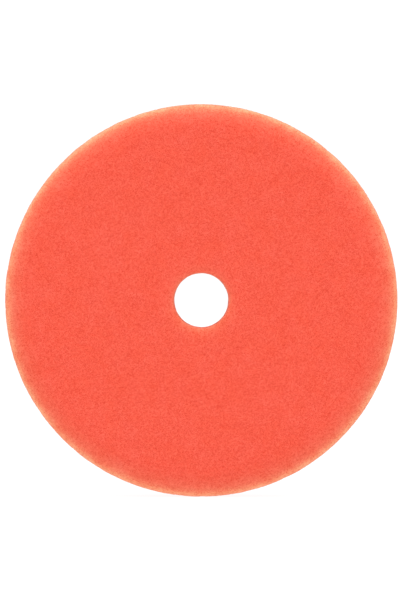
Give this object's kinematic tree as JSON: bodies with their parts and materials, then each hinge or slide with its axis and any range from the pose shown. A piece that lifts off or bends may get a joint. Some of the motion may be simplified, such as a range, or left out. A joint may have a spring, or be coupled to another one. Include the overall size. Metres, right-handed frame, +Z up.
{
  "type": "polishing pad",
  "caption": "Round foam polishing pad with a centre hole, a rounded working edge, a tapered side and a hook-and-loop back.",
  "frame": {"origin": "centre of the pad on the mating plane at the tips of the loops, where the backing plate grips", "axes": "+Y along the spin axis, out of the loop side towards the polisher; the working face looks towards -Y; +Z up with the pad standing on its rim like a wheel"},
  "size_m": [0.16, 0.025, 0.16],
  "materials": {
    "foam": "matt open-cell polyurethane foam, fine pores, orange-red through its whole thickness",
    "adhesive": "thin milky hot-melt film, slightly squeezed out at its edges",
    "ground_fabric": "warp-knitted off-white polyester, matt",
    "loop_pile": "brushed off-white nylon loops, soft sheen"
  },
  "bodies": {
    "root": {"foam_disc": "foam", "adhesive_film": "adhesive", "ground_fabric": "ground_fabric", "loop_pile": "loop_pile"}
  },
  "joints": []
}
